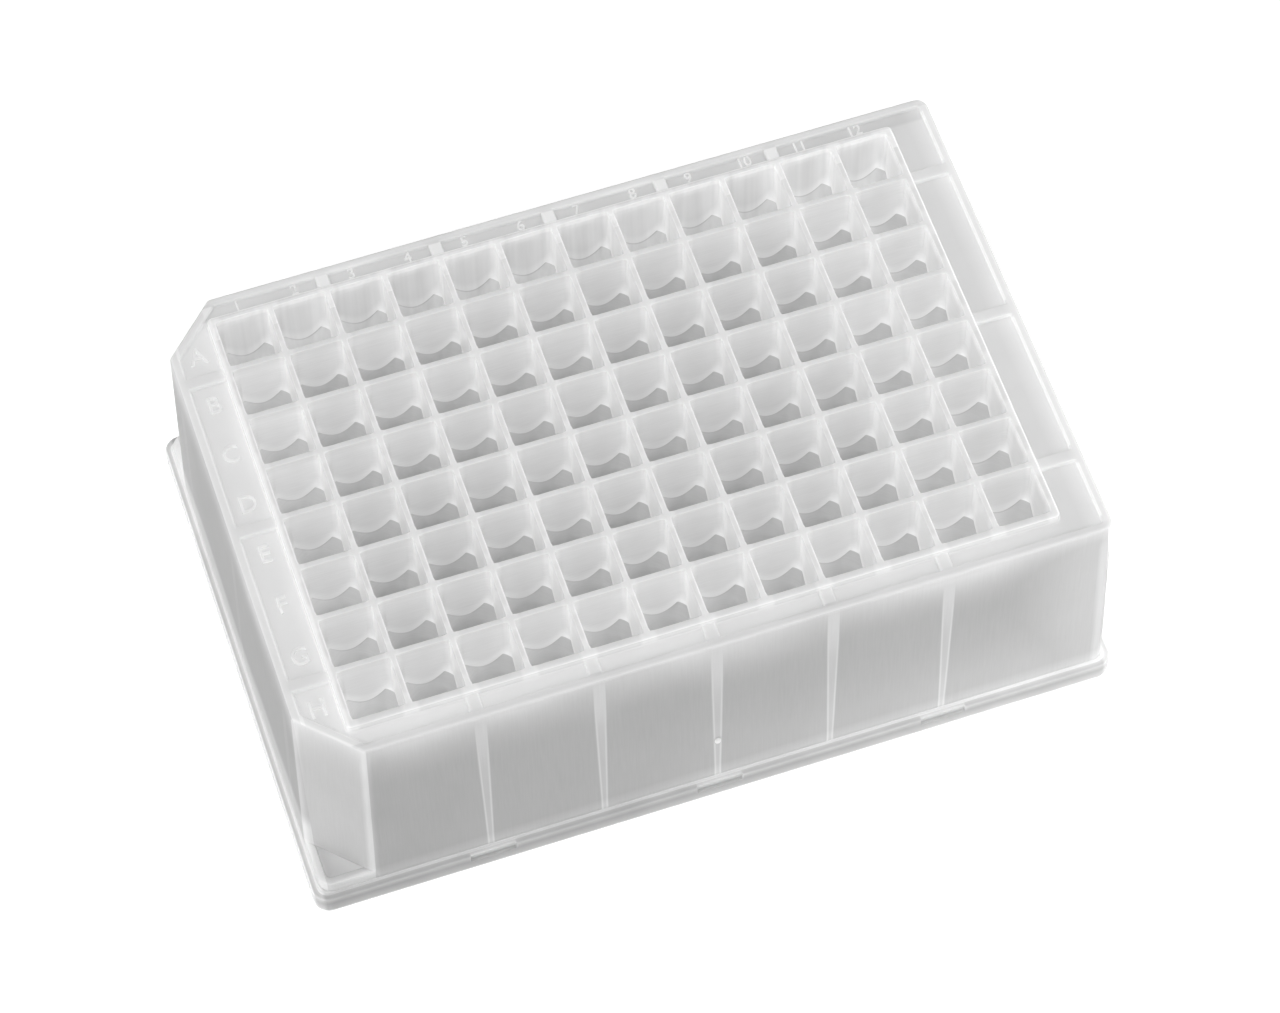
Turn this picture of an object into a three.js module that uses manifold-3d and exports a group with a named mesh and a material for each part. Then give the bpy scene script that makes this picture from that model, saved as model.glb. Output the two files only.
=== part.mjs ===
// A 96-well deep-well plate: one injection moulding in natural polypropylene.
// Square well mouths blend through a conical shoulder into round bores that end in cones.
// Millimetres, +Z up. The origin is the middle of the footprint, on the surface the plate
// stands on. Columns 1 to 12 run along +X and rows A to H along -Y, so well A1 is at -X, +Y.
import * as THREE from "three";
import { mergeVertices } from "three/addons/utils/BufferGeometryUtils.js";
import Module from "manifold-3d";

const wasm = await Module();
wasm.setup();

// Overall sizes: the footprint is the one that laboratory robots are built for.
const footprintLength = 127.76; // X
const footprintWidth = 85.48; // Y
const plateHeight = 44; // Z, at the well mouths

// The grid of wells.
const columns = 12;
const rows = 8;
const pitch = 9;

// One well, from its mouth down.
const wellWall = 0.9; // between two mouths
const mouthDraft = 0.06; // each side, from the mouth to the shoulder
const shoulderDepth = 11.4; // below the mouth, where the bore is fully round
const shoulderRise = 2.25; // height gained for each unit of radius on the shoulder cone
const boreDraft = 0.3; // taken from the radius between the shoulder and the bottom cone
const bottomCone = 3; // height of the cone that closes the bore
const boreFacets = 12;

// The underside of the well block.
const tipClearance = 1.4; // between the well tips and the surface below
const tipWall = 1.1; // of material under the point of the cone
const tipHeight = 3.6; // of the cone under each well
const tipFacets = 8;
const coreWall = 1; // between a bore and the cored pocket beside it
const coreDraft = 0.35; // taken from the pocket's half diagonal on its way up
const coreRoof = 1.6; // of solid between the shoulder's end and the pocket's top

// The block's outer wall, and the recessed deck round it.
const blockWall = 1.2; // outside the outermost mouths
const blockRadius = 0.8;
const rimDrop = 0.85; // the deck's outer rim stands this far below the well mouths
const rimWidth = 1.4;
const pocketDepth = 0.75; // of the label pockets, below the rim
const deckThickness = 1.2;

// The skirt: drafted outer walls, open below, with two chamfered corners on the A1 side.
const skirtWall = 1.4;
const skirtDraft = 1.1; // each side leans in by this much over its height
const skirtRadius = 1.8;
const cornerChamfer = 8.3; // leg of the chamfers at A1 and H1
const footRing = 6.4; // height of the foot, which keeps its square corners
const flangeHeight = 3.9;
const flangeLedge = 1.03; // how far the flange stands out from the skirt's foot
const flangeWall = 1.3;
const flangeRadius = 2.5;

// Webs between the block and the skirt. The same wall shows as a bridge across the deck.
const webEveryColumns = 2;
const webRows = [1, 4, 7]; // after row A, row D and row G
const webTop = 2; // thickness under the deck
const webFoot = 1; // thickness at the free edge
const webRise = 1.4; // from the block's underside up to the free edge

// Index notches in the front edge of the flange.
const notchLength = 7;
const notchDepth = 0.35;
const notchDrop = 1.3;
const notchWebs = [1, 3, 5]; // the column webs that they line up with

// Derived sizes.
const mouth = pitch - wellWall;
const boreRadius = mouth / 2 - mouthDraft; // to the middle of a facet
const boreEndRadius = boreRadius - boreDraft;
const blockLength = columns * pitch - wellWall + 2 * blockWall;
const blockWidth = rows * pitch - wellWall + 2 * blockWall;
const blockFoot = tipClearance + tipHeight;
const webFootHeight = blockFoot + webRise;
const boreFloor = tipClearance + tipWall;
const shoulderLevel = plateHeight - shoulderDepth;
const rimLevel = plateHeight - rimDrop;
const pocketLevel = rimLevel - pocketDepth;
const deckUnderside = pocketLevel - deckThickness;
const skirtLength = footprintLength - 2 * flangeLedge;
const skirtWidth = footprintWidth - 2 * flangeLedge;
const past = 1; // how far a cutting solid runs past the face it cuts

// A closed geometry as a solid that can be joined and cut.
function solid(geometry) {
  const bare = geometry.index ? geometry.toNonIndexed() : geometry;
  bare.deleteAttribute("normal");
  bare.deleteAttribute("uv");
  const merged = mergeVertices(bare, 1e-4);
  const corners = [...merged.index.array];
  const triangles = [];
  for (let i = 0; i < corners.length; i += 3) {
    const [a, b, c] = corners.slice(i, i + 3);
    if (a !== b && b !== c && c !== a) triangles.push(a, b, c);
  }
  const mesh = new wasm.Mesh({
    numProp: 3,
    vertProperties: merged.attributes.position.array,
    triVerts: new Uint32Array(triangles),
  });
  return new wasm.Manifold(mesh);
}

function joined(solids) {
  return solids.reduce((sum, next) => sum.add(next));
}

// A rectangle with round corners. The two corners on the -X side can be chamfered instead.
function outline(length, width, radius, chamfer = 0) {
  const x = length / 2;
  const y = width / 2;
  const left = chamfer || radius;
  const shape = new THREE.Shape();
  shape.moveTo(left - x, -y);
  shape.lineTo(x - radius, -y);
  shape.absarc(x - radius, radius - y, radius, -Math.PI / 2, 0);
  shape.lineTo(x, y - radius);
  shape.absarc(x - radius, y - radius, radius, 0, Math.PI / 2);
  shape.lineTo(left - x, y);
  if (chamfer) shape.lineTo(-x, y - chamfer);
  else shape.absarc(radius - x, y - radius, radius, Math.PI / 2, Math.PI);
  shape.lineTo(-x, left - y);
  if (!chamfer) shape.absarc(radius - x, radius - y, radius, Math.PI, 1.5 * Math.PI);
  return shape;
}

// An outline raised from one level to another, with its sides leaning in by draft.
function raised(shape, from, to, draft = 0) {
  const options = { depth: to - from, bevelEnabled: false, curveSegments: 2 };
  const geometry = new THREE.ExtrudeGeometry(shape, options);
  const place = geometry.attributes.position;
  for (let i = 0; i < place.count; i++) {
    const inset = (draft * place.getZ(i)) / (to - from);
    place.setX(i, place.getX(i) - Math.sign(place.getX(i)) * inset);
    place.setY(i, place.getY(i) - Math.sign(place.getY(i)) * inset);
  }
  return solid(geometry.translate(0, 0, from));
}

// The skirt's outline moved in by a wall, from the foot up to a level with the same lean.
function skirtSolid(wall, from, to, chamfered) {
  const chamfer = chamfered ? cornerChamfer - (2 - Math.SQRT2) * wall : 0;
  const radius = Math.max(skirtRadius - wall, 0.4);
  const lean = skirtDraft / rimLevel;
  const length = skirtLength - 2 * (wall + lean * from);
  const width = skirtWidth - 2 * (wall + lean * from);
  return raised(outline(length, width, radius, chamfer), from, to, lean * (to - from));
}

// The core pin of one well: a revolved profile of cone, bore and shoulder, squared off by
// a drafted square prism. Its facets face the square's sides, and its edges the corners.
function wellCore() {
  const depth = plateHeight - boreFloor;
  const lean = mouthDraft / shoulderDepth;
  const across = Math.SQRT2;
  const prism = new THREE.CylinderGeometry(
    across * (mouth / 2 + lean * past),
    across * (mouth / 2 - lean * depth),
    depth + past,
    4,
  );
  prism.rotateX(Math.PI / 2).rotateZ(Math.PI / 4);
  prism.translate(0, 0, plateHeight + past - (depth + past) / 2);

  const toCorner = 1 / Math.cos(Math.PI / boreFacets);
  const reach = mouth / Math.SQRT2 + past; // clear of the square's corners
  const profile = [
    [0, boreFloor],
    [boreEndRadius, boreFloor + bottomCone],
    [boreRadius, shoulderLevel],
    [reach, shoulderLevel + (reach - boreRadius) * shoulderRise],
    [reach, plateHeight + 2 * past],
    [0, plateHeight + 2 * past],
  ];
  const points = profile.map(([r, z]) => new THREE.Vector2(r * toCorner, z));
  const pin = new THREE.LatheGeometry(points, boreFacets);
  pin.rotateX(Math.PI / 2).rotateZ(Math.PI / boreFacets);
  return solid(pin).intersect(solid(prism));
}

// The conical tip that closes one well from below. Its root meets its neighbours' roots.
function wellTip() {
  const toCorner = 1 / Math.cos(Math.PI / tipFacets);
  const tip = new THREE.ConeGeometry((pitch / 2) * toCorner, tipHeight, tipFacets);
  tip.rotateX(-Math.PI / 2).rotateZ(Math.PI / tipFacets);
  return solid(tip.translate(0, 0, blockFoot - tipHeight / 2));
}

// The cored pocket between four wells: a drafted diamond, open below.
function voidCore() {
  const top = shoulderLevel - coreRoof;
  const boreCorner = boreEndRadius / Math.cos(Math.PI / boreFacets);
  const footRadius = pitch - Math.SQRT2 * (boreCorner + coreWall);
  const height = top + past;
  const diamond = new THREE.CylinderGeometry(footRadius - coreDraft, footRadius, height, 4);
  diamond.rotateX(Math.PI / 2);
  return solid(diamond.translate(0, 0, top - height / 2));
}

// Places along one axis, centred on the origin.
function spread(count, step) {
  return Array.from({ length: count }, (_, i) => (i - (count - 1) / 2) * step);
}

const wellX = spread(columns, pitch);
const wellY = spread(rows, pitch).reverse();

// The block of wells, still without its bores.
function wellBlock() {
  const body = raised(outline(blockLength, blockWidth, blockRadius), blockFoot, plateHeight);
  const tip = wellTip();
  const tips = wellX.flatMap((x) => wellY.map((y) => tip.translate(x, y, 0)));
  return body.add(joined(tips));
}

// Every bore, and the diamond pocket that cores out the plastic between four of them.
function wellCores() {
  const core = wellCore();
  const bores = wellX.flatMap((x) => wellY.map((y) => core.translate(x, y, 0)));
  const diamond = voidCore();
  const gapX = spread(columns - 1, pitch);
  const gapY = spread(rows - 1, pitch);
  const pockets = gapX.flatMap((x) => gapY.map((y) => diamond.translate(x, y, 0)));
  return joined([...bores, ...pockets]);
}

const columnWebs = spread(columns / webEveryColumns - 1, webEveryColumns * pitch);
const rowWebs = webRows.map((row) => wellY[0] + pitch / 2 - row * pitch);

// One web in cross-section, thinner towards its free lower edge, run the whole way across.
function web(length) {
  const shape = new THREE.Shape();
  shape.moveTo(-webFoot / 2, webFootHeight);
  shape.lineTo(webFoot / 2, webFootHeight);
  shape.lineTo(webTop / 2, deckUnderside);
  shape.lineTo(webTop / 2, rimLevel);
  shape.lineTo(-webTop / 2, rimLevel);
  shape.lineTo(-webTop / 2, deckUnderside);
  const geometry = new THREE.ExtrudeGeometry(shape, { depth: length, bevelEnabled: false });
  return geometry.translate(0, 0, -length / 2).rotateX(Math.PI / 2);
}

function allWebs() {
  const across = columnWebs.map((x) => solid(web(footprintWidth)).translate(x, 0, 0));
  const along = rowWebs.map((y) =>
    solid(web(footprintLength).rotateZ(Math.PI / 2)).translate(0, y, 0),
  );
  return joined([...across, ...along]);
}

// The channel of label pockets between the rim and the block, left bridged by the webs.
function labelPockets(webs) {
  const inner = skirtSolid(rimWidth, pocketLevel, plateHeight + past, true);
  const block = raised(
    outline(blockLength, blockWidth, blockRadius),
    pocketLevel - past,
    plateHeight + 2 * past,
  );
  return inner.subtract(block).subtract(webs);
}

function flangeNotches() {
  const box = new THREE.BoxGeometry(notchLength, 2 * notchDepth, 2 * notchDrop);
  box.translate(0, -footprintWidth / 2, flangeHeight);
  const notch = solid(box);
  return joined(notchWebs.map((i) => notch.translate(columnWebs[i - 1], 0, 0)));
}

// The skirt and deck in one shell. Above the foot ring two corners are chamfered, so the
// ring's own corners stand clear of the chamfers and leave a triangular hole inside them.
function skirtShell(webs) {
  const walls = skirtSolid(0, 0, rimLevel, false);
  const flange = raised(
    outline(footprintLength, footprintWidth, flangeRadius),
    0,
    flangeHeight,
  );
  const square = skirtSolid(-past, footRing, rimLevel + past, false);
  const chamfers = square.subtract(skirtSolid(0, footRing - past, rimLevel + 2 * past, true));
  const flangeCavity = raised(
    outline(
      footprintLength - 2 * flangeWall,
      footprintWidth - 2 * flangeWall,
      flangeRadius - flangeWall,
    ),
    -past,
    flangeHeight - flangeWall,
  );
  const ringCavity = skirtSolid(skirtWall, -past, footRing, false);
  const cavity = skirtSolid(skirtWall, -past, deckUnderside, true);
  const cuts = joined([chamfers, flangeCavity, ringCavity, cavity]);
  return walls.add(flange).subtract(cuts).subtract(labelPockets(webs));
}

// A solid as a named mesh.
function piece(name, shape, material) {
  const made = shape.getMesh();
  const geometry = new THREE.BufferGeometry();
  geometry.setAttribute("position", new THREE.BufferAttribute(made.vertProperties, 3));
  geometry.setIndex(new THREE.BufferAttribute(made.triVerts, 1));
  geometry.computeVertexNormals();
  const mesh = new THREE.Mesh(geometry, material);
  mesh.name = name;
  return mesh;
}

const naturalPolypropylene = new THREE.MeshStandardMaterial({
  color: 0xdcdcdc,
  roughness: 0.35,
  metalness: 0,
});

const webs = allWebs();
const insideWalls = skirtSolid(skirtWall / 2, 0, rimLevel, true);
const moulding = skirtShell(webs)
  .add(webs.intersect(insideWalls))
  .add(wellBlock())
  .subtract(wellCores())
  .subtract(flangeNotches());

const plate = new THREE.Group();
plate.add(piece("well_plate", moulding, naturalPolypropylene));

export default plate;
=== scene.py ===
# A 96-well deep-well plate, moulded in one piece from natural polypropylene, around its CAD frame.
# Sizes are written in millimetres and turned to metres where a mesh is made.
import math

import bpy
from mathutils import Matrix, Vector
from mathutils.kdtree import KDTree


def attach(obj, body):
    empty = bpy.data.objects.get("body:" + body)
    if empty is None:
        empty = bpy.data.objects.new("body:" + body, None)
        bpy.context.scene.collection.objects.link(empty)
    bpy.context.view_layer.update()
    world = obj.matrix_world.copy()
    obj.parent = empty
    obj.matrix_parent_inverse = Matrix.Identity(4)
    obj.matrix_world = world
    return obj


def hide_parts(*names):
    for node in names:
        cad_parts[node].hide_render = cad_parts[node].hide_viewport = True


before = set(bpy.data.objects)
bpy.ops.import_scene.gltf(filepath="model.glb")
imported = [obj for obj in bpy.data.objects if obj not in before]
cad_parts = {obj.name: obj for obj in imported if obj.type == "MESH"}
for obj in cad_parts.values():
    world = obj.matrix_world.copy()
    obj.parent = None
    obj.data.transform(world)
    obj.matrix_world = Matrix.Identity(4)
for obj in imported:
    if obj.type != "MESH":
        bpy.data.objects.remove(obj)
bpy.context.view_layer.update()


# ---- Well block ---------------------------------------------------------------------------
# The 96 wells share one block. It is injection moulded polypropylene with thin walls between
# square mouths, and each core pin leaves a conical shoulder, a round bore and a coned bottom.
MM = 0.001  # a millimetre in metres
PLATE_HEIGHT = 44.0
COLUMNS, ROWS, PITCH = 12, 8, 9.0
MOUTH = 8.1
MOUTH_RADIUS = 0.35  # of the square's corners, at the top
DEEP_RADIUS = 1.2  # and where the shoulder starts
MOUTH_EDGE = 0.1  # rounding of the top edge
EDGE_BAND = 0.3  # how far the edge's brightness reaches in on the top
MOUTH_DRAFT = 0.06
SHOULDER_Z = 32.6
SHOULDER_RISE = 2.16  # height gained for each unit of radius
CORNER_STEP_Z = 35.0  # in the corners the bright shoulder ends here
BORE_RADIUS = 3.88
BORE_END_RADIUS = 3.69
BORE_FLOOR = 2.5
BOTTOM_CONE = 3.0
BLOCK_WALL = 1.2
BLOCK_RADIUS = 0.8
BLOCK_EDGE = 0.38
BLOCK_FOOT = 5.0
CORE_HALF = 2.18  # half diagonal of the diamond pocket between four wells
CORE_DRAFT = 0.35
CORE_TOP = 31.0
# Whiteness levels of the block, where 1.0 is a plain wall of usual thickness.
TOP_WHITE = 0.84  # flat tops of the walls
TOP_EDGE_HIGHLIGHT = 0.3  # more than that on the outer top edges: a painted highlight
FLANK_WHITE = 0.88  # the block's own flank, seen past the skirt
UNDER_WHITE = 0.95  # cones and tips, with light from both sides
POCKET_WHITE = 0.75  # roofs of the pockets between wells
WELL_X = [(i - (COLUMNS - 1) / 2) * PITCH for i in range(COLUMNS)]
WELL_Y = [((ROWS - 1) / 2 - i) * PITCH for i in range(ROWS)]


def arc(centre, radius, start, end, steps):
    """Points of an arc in degrees, both ends included."""
    turn = [math.radians(start + (end - start) * i / steps) for i in range(steps + 1)]
    return [(centre[0] + radius * math.cos(t), centre[1] + radius * math.sin(t)) for t in turn]


SHARP_EDGE = math.radians(38)  # an edge that turns further than this stays crisp


class Skin:
    """A mesh being sewn from loops of points, with one whiteness value for each point."""

    def __init__(self):
        self.points, self.faces, self.white = [], [], []

    def loop(self, places, white=1.0):
        """Adds a run of points, with one whiteness or one for each, and returns their numbers."""
        first = len(self.points)
        self.points.extend(places)
        whites = white if isinstance(white, list) else [white] * len(places)
        self.white.extend(whites)
        return list(range(first, len(self.points)))

    def band(self, low, high, closed=True):
        """Faces between two runs, which face out when both run anticlockwise and high is above."""
        count = len(low)
        for i in range(count if closed else count - 1):
            j = (i + 1) % count
            self.faces.append((low[i], low[j], high[j], high[i]))

    def fan(self, ring, tip):
        """Triangles from a loop to one point."""
        for i, a in enumerate(ring):
            self.faces.append((a, ring[(i + 1) % len(ring)], tip))

    def piece(self, name, material):
        """Makes the sewn mesh an object, with smooth faces between its crisp edges."""
        mesh = bpy.data.meshes.new(name)
        mesh.from_pydata([Vector(p) * MM for p in self.points], [], self.faces)
        layer = mesh.attributes.new("whiteness", "FLOAT", "POINT")
        layer.data.foreach_set("value", self.white)
        made = bpy.data.objects.new(name, mesh)
        bpy.context.scene.collection.objects.link(made)
        weld = made.modifiers.new("weld", "WELD")
        weld.merge_threshold = 0.002 * MM
        with bpy.context.temp_override(object=made):
            bpy.ops.object.modifier_apply(modifier="weld")
        mesh = made.data
        mesh.shade_smooth()
        mesh.set_sharp_from_angle(angle=SHARP_EDGE)
        evened = made.modifiers.new("flat faces stay flat", "WEIGHTED_NORMAL")
        evened.keep_sharp = True
        evened.weight = 80
        mesh.materials.append(material)
        return made


def rgb(code, alpha=1.0):
    """An sRGB hex colour as linear values."""
    parts = [int(code[i : i + 2], 16) / 255 for i in (1, 3, 5)]
    return [p / 12.92 if p <= 0.04045 else ((p + 0.055) / 1.055) ** 2.4 for p in parts] + [alpha]


def add(tree, kind, settings=None, inputs=None):
    """Adds a node, sets its properties, and sets or links its inputs."""
    node = tree.nodes.new(kind)
    for name, value in (settings or {}).items():
        setattr(node, name, value)
    for name, value in (inputs or {}).items():
        if isinstance(value, bpy.types.NodeSocket):
            tree.links.new(value, node.inputs[name])
        else:
            node.inputs[name].default_value = value
    return node


SOFT = {"curve": "SMOOTHSTEP"}  # for bands whose ends are eased


def toned(tree, tone, *bands, curve="LINEAR"):
    """The tone plus each band, where a band is a product of ramps over places on the piece.

    A ramp is (value, low, high, start, end): it goes from start at low to end at high.
    """
    for ramps in bands:
        band = 1.0
        for value, low, high, start, end in ramps:
            ramp = add(
                tree,
                "ShaderNodeMapRange",
                {"interpolation_type": curve},
                {"Value": value, "From Min": low, "From Max": high, "To Min": start, "To Max": end},
            ).outputs["Result"]
            band = add(tree, "ShaderNodeMath", {"operation": "MULTIPLY"}, {0: band, 1: ramp}).outputs[0]
        tone = add(tree, "ShaderNodeMath", {"operation": "ADD"}, {0: tone, 1: band}).outputs[0]
    return tone


HAZE_PATCH = 11.1  # mm across the soft patches where the plastic cooled a little slower
MOULD_GRAIN = 0.4  # mm; the real satin grain is finer, and is drawn this coarse so that it shows


def natural_polypropylene(name, shade, passes, roughness=0.24):
    """Unpigmented polypropylene off a satin mould: milky, whiter where it is thick.

    Light runs on inside it, so its colour comes from below the surface, and lamps light what
    stands behind a wall too: `passes` is the share of their light that gets through a surface.
    shade(tree, place) gives what else varies, with the place in millimetres. Both it and the
    whiteness attribute also carry painted highlights and painted shade.
    """
    material = bpy.data.materials.new(name)
    material.use_nodes = True
    tree = material.node_tree
    tree.nodes.clear()
    metres = add(tree, "ShaderNodeTexCoord").outputs["Object"]
    scaled = add(tree, "ShaderNodeVectorMath", {"operation": "SCALE"}, {0: metres, "Scale": 1 / MM})
    place = scaled.outputs[0]
    haze = add(
        tree,
        "ShaderNodeTexNoise",
        None,
        {"Vector": place, "Scale": 1 / HAZE_PATCH, "Detail": 3.0},
    ).outputs["Fac"]
    hazed = toned(tree, 0.0, [(haze, 0.3, 0.7, 0.975, 1.02)])
    # whiteness per point: thicker plastic, and painted highlights and painted shade
    thick_and_painted_light = add(tree, "ShaderNodeAttribute", {"attribute_name": "whiteness"}).outputs["Fac"]
    shaded = thick_and_painted_light
    for tone in (hazed, shade(tree, place)):
        shaded = add(tree, "ShaderNodeMath", {"operation": "MULTIPLY"}, {0: shaded, 1: tone}).outputs[0]
    milk = add(
        tree,
        "ShaderNodeVectorMath",
        {"operation": "SCALE"},
        {0: rgb("#E8E8E8")[:3], "Scale": shaded},
    )
    grain = add(
        tree,
        "ShaderNodeTexNoise",
        None,
        {"Vector": place, "Scale": 1 / MOULD_GRAIN, "Detail": 2.0},
    )
    satin = add(
        tree,
        "ShaderNodeBump",
        None,
        {"Height": grain.outputs["Fac"], "Strength": 0.06, "Distance": 0.05 * MM},
    )
    plastic = add(
        tree,
        "ShaderNodeBsdfPrincipled",
        None,
        {
            "Base Color": milk.outputs["Vector"],
            "Roughness": roughness,
            "IOR": 1.49,
            "Subsurface Weight": 1.0,
            "Subsurface Radius": (1.0, 1.0, 1.0),
            "Subsurface Scale": 2.0 * MM,
            "Normal": satin.outputs["Normal"],
        },
    )
    clear = add(tree, "ShaderNodeBsdfTransparent")
    lamp_ray = add(tree, "ShaderNodeLightPath").outputs["Is Shadow Ray"]
    passed = add(tree, "ShaderNodeMath", {"operation": "MULTIPLY"}, {0: lamp_ray, 1: passes})
    body = add(
        tree,
        "ShaderNodeMixShader",
        None,
        {0: passed.outputs[0], 1: plastic.outputs["BSDF"], 2: clear.outputs["BSDF"]},
    )
    add(tree, "ShaderNodeOutputMaterial", None, {"Surface": body.outputs["Shader"]})
    return material


def reach(direction, half, radius):
    """How far a rounded square's edge is from its middle, in one direction."""
    a, b = abs(direction[0]), abs(direction[1])
    flat = half / max(a, b)
    middle = half - radius
    if min(a, b) * flat <= middle:
        return flat
    return middle * (a + b) + math.sqrt((middle * (a + b)) ** 2 - 2 * middle**2 + radius**2)


CORNER_BEARING = 36.0  # where the shoulder's level edge in each corner begins
bearings = [90 * k + t for k in range(4) for t in (-CORNER_BEARING, -24, -15, -7, 0, 7, 15, 24)]
bearings += [90 * k + t for k in range(4) for t in (CORNER_BEARING, 39.5, 45, 50.5)]
aim = [(math.cos(math.radians(t)), math.sin(math.radians(t))) for t in sorted(bearings)]
wall = [reach(d, MOUTH / 2, MOUTH_RADIUS) for d in aim]
deep_wall = [reach(d, MOUTH / 2 - MOUTH_DRAFT, DEEP_RADIUS) for d in aim]
mouth_loop = [(a * w, b * w) for (a, b), w in zip(aim, wall)]
crease = [SHOULDER_Z + SHOULDER_RISE * (w - BORE_RADIUS) for w in deep_wall]


def well_radius(i, z):
    """How far the well's surface is from its axis: square wall, shoulder cone or round bore."""
    if z >= SHOULDER_Z:
        depth = min(1.0, (PLATE_HEIGHT - z) / (PLATE_HEIGHT - crease[i]))
        square = wall[i] + (deep_wall[i] - wall[i]) * depth
        return min(square, BORE_RADIUS + (z - SHOULDER_Z) / SHOULDER_RISE)
    share = (SHOULDER_Z - z) / (SHOULDER_Z - BORE_FLOOR - BOTTOM_CONE)
    return BORE_RADIUS + (BORE_END_RADIUS - BORE_RADIUS) * share


# Each row of a well is a height for each of its points, whether they are wall or bore, and a
# whiteness. In the corners the shoulder's foot stays level.
step = [min(z, CORNER_STEP_Z) for z in crease]
side_white = [1.0 - 0.07 * abs(b) ** 4 for _, b in aim]
# The rows' whiteness grows with depth, painted light against the shade deep in the well.
rows_of_well = [([PLATE_HEIGHT - drop] * len(wall), "wall", 0.95) for drop in (2.0, 4.5)]
for higher, white in ((1.6, 0.96), (0.5, 0.97), (0.1, 0.97)):
    rows_of_well.append(([z + higher for z in crease], "wall", white))
rows_of_well.append(([z - 0.1 for z in step], "bore", 0.97))
rows_of_well.append(([min(SHOULDER_Z, z - 1.5) for z in step], "bore", 0.98))
rows_of_well.append(([SHOULDER_Z - 2.0] * len(wall), "bore", 1.0))
rows_of_well.append(([BORE_FLOOR + BOTTOM_CONE] * len(wall), "bore", 1.1))

block = Skin()
half_length = COLUMNS * PITCH / 2
half_width = ROWS * PITCH / 2
END_REACH = 1.6 * PITCH  # how far in from the plate's short ends its wells look different
# Painted light and shade at the short ends: the bores lighter at both ends, the walls lighter at the left
# end and darker at the right.
END_WHITE = {"left": {"wall": 1.04, "bore": 1.16}, "right": {"wall": 0.96, "bore": 1.08}}
FIRST_ROW_BORE = 1.2  # row A's bores are painted lighter, for the light through the thinner plastic behind them and its back walls are painted lighter, as they catch more light
FIRST_ROW_BACK = 0.045  # and its back walls catch more light


def sew_well(x, y):
    """One well from the flat top down to the point of its cone, inside its own square cell.

    Each mouth's left edge carries a painted highlight line, and so do the last column's right
    edge and the first row's back edge. The walls are painted slowly lighter to the back left and
    darker to the front right, as the light falls across the plate.
    """
    last, first_row = x == WELL_X[-1], y == WELL_Y[0]
    outboard = 1 - min((half_length - abs(x)) / END_REACH, 1.0)
    at_end = END_WHITE["left" if x < 0 else "right"]
    lighter = {part: 1 + (white - 1) * outboard for part, white in at_end.items()}
    # Painted light: row A's bores lighter, and the walls lighter to the back left and darker to the front
    # right.
    if first_row:
        lighter["bore"] = FIRST_ROW_BORE
    elif x < 0 < y:
        lighter["wall"] += 0.0008 * (y - x)
    elif y < 0 < x:
        lighter["wall"] -= 0.0005 * (x - y)
    cell = []
    for px, py in mouth_loop:
        grow = PITCH / 2 / max(abs(px), abs(py))
        cell.append((x + px * grow, y + py * grow, PLATE_HEIGHT))
    above = block.loop(cell, TOP_WHITE)
    edge_highlight_white = []
    # Painted highlight lines on the mouth's top edges.
    for a, b in aim:
        highlight = max(0.0, -a) ** 6
        if last:
            highlight += max(0.0, a) ** 6
        if first_row:
            highlight += max(0.0, b) ** 6
        edge_highlight_white.append(TOP_WHITE + TOP_EDGE_HIGHLIGHT * highlight)
    mouth_edge = [(EDGE_BAND, 0.0, TOP_WHITE - 0.01)]
    for out, drop in arc((MOUTH_EDGE, -MOUTH_EDGE), MOUTH_EDGE, 90, 180, 2):
        mouth_edge.append((out, drop, edge_highlight_white))
    for out, drop, whites in mouth_edge:
        scale = [1 + out / w * (1 / max(abs(a), abs(b))) for w, (a, b) in zip(wall, aim)]
        top = PLATE_HEIGHT + drop
        places = [(x + px * k, y + py * k, top) for (px, py), k in zip(mouth_loop, scale)]
        ring = block.loop(places, whites)
        block.band(above, ring)
        above = ring
    for heights, part, white in rows_of_well:
        places, whites = [], []
        for i, z in enumerate(heights):
            r = well_radius(i, z)
            places.append((x + aim[i][0] * r, y + aim[i][1] * r, z))
            here = white * lighter[part]
            if part == "wall":
                here *= side_white[i] + (FIRST_ROW_BACK * max(0.0, aim[i][1]) if first_row else 0.0)
            whites.append(here)
        ring = block.loop(places, whites)
        block.band(above, ring)
        above = ring
    for share in (0.5, 0.9):
        r = BORE_END_RADIUS * (1 - share)
        z = BORE_FLOOR + BOTTOM_CONE * (1 - share)
        ring = block.loop([(x + a * r, y + b * r, z) for a, b in aim], UNDER_WHITE)
        block.band(above, ring)
        above = ring
    tip = block.loop([(x, y, BORE_FLOOR + BOTTOM_CONE * 0.06)], UNDER_WHITE)[0]
    block.fan(above, tip)


for x in WELL_X:
    for y in WELL_Y:
        sew_well(x, y)

# The block's own outline: its top edge is rounded, and its flank runs down to the underside.
block_x = half_length - (PITCH - MOUTH) / 2 + BLOCK_WALL
block_y = half_width - (PITCH - MOUTH) / 2 + BLOCK_WALL
ticks = sorted(py * PITCH / 2 / px for px, py in mouth_loop if px > 0 and abs(py) <= px + 1e-9)


def cell_ends(centres):
    """Where the outer cells' points lie along one side of the block, in rising order."""
    return [centres[0] + ticks[0]] + [c + t for c in centres for t in ticks[1:]]


short_side, long_side = cell_ends(WELL_Y[::-1]), cell_ends(WELL_X)
core_sides = [
    [(half_length, y) for y in short_side],
    [(x, half_width) for x in reversed(long_side)],
    [(-half_length, y) for y in reversed(short_side)],
    [(x, -half_width) for x in long_side],
]
block_run = []
for quarter, side in enumerate(core_sides):
    block_run += [(place, 90.0 * quarter) for place in side]
    block_run += [(side[-1], 90.0 * quarter + 22.5 * k) for k in (1, 2, 3)]


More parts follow.
